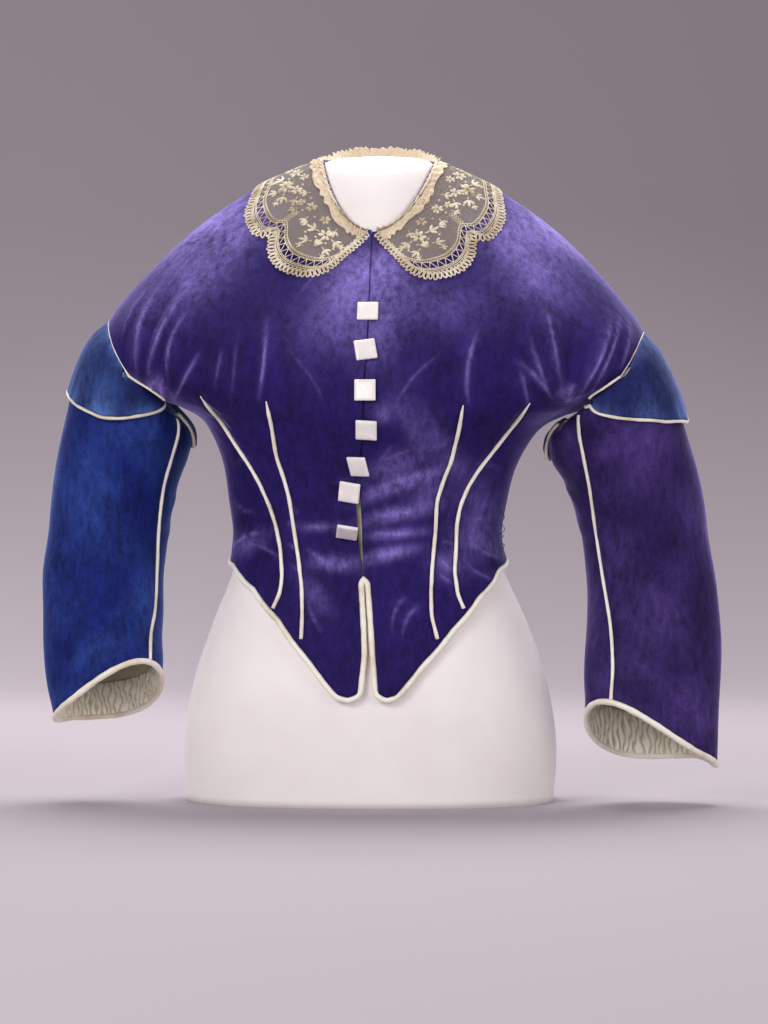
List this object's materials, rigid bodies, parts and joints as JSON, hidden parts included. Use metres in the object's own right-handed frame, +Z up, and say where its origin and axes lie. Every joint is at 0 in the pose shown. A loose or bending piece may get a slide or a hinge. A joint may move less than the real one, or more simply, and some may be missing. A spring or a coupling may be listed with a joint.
{
  "type": "day bodice on dress form",
  "caption": "Fitted velvet day bodice with piped darts, pointed hem, sleeve caps, full sleeves and a lace collar, worn by a limbless dress form.",
  "frame": {"origin": "middle of the dress form's flat base, straight below the neck", "axes": "+Z up, -Y the front with its buttons, +X the wearer's left, where a viewer facing the front has their right"},
  "size_m": [0.6104, 0.2551, 0.5944],
  "materials": {
    "velvet_purple": "dark purple cotton or silk velvet with a lavender sheen where the pile is brushed",
    "velvet_blue": "dark blue velvet, a bluer lot than the body, with the same pile",
    "piping": "ivory silk satin folded over a cord",
    "silk": "ivory silk, ruched in small gathers",
    "facing": "plain pale cotton facing",
    "lace": "cream cotton lace, matt, with open net and bars",
    "pearl": "mother of pearl, polished, off-white with a faint pink",
    "form": "white covered dress form, smooth and matt"
  },
  "bodies": {
    "root": {"front_right": "velvet_purple", "front_left": "velvet_purple", "side_back_right": "velvet_purple", "side_back_left": "velvet_purple", "back": "velvet_purple", "hem_cord_right": "piping", "hem_cord_left": "piping", "dart_cord_inner_right": "piping", "dart_cord_outer_right": "piping", "dart_cord_inner_left": "piping", "dart_cord_outer_left": "piping", "armhole_cord_right": "piping", "armhole_cord_left": "piping", "front_facing": "facing", "upper_sleeve_right": "velvet_blue", "under_sleeve_right": "velvet_blue", "upper_sleeve_left": "velvet_purple", "under_sleeve_left": "velvet_purple", "sleeve_cap_right": "velvet_blue", "sleeve_cap_left": "velvet_blue", "cap_cord_right": "piping", "cap_cord_left": "piping", "sleeve_cord_right": "piping", "sleeve_cord_left": "piping", "cuff_cord_right": "piping", "cuff_cord_left": "piping", "cuff_lining_right": "silk", "cuff_lining_left": "silk", "lace_collar": "lace", "neck_frill": "lace", "button_1": "pearl", "button_2": "pearl", "button_3": "pearl", "button_4": "pearl", "button_5": "pearl", "button_6": "pearl", "button_7": "pearl", "dress_form": "form"}
  },
  "joints": []
}
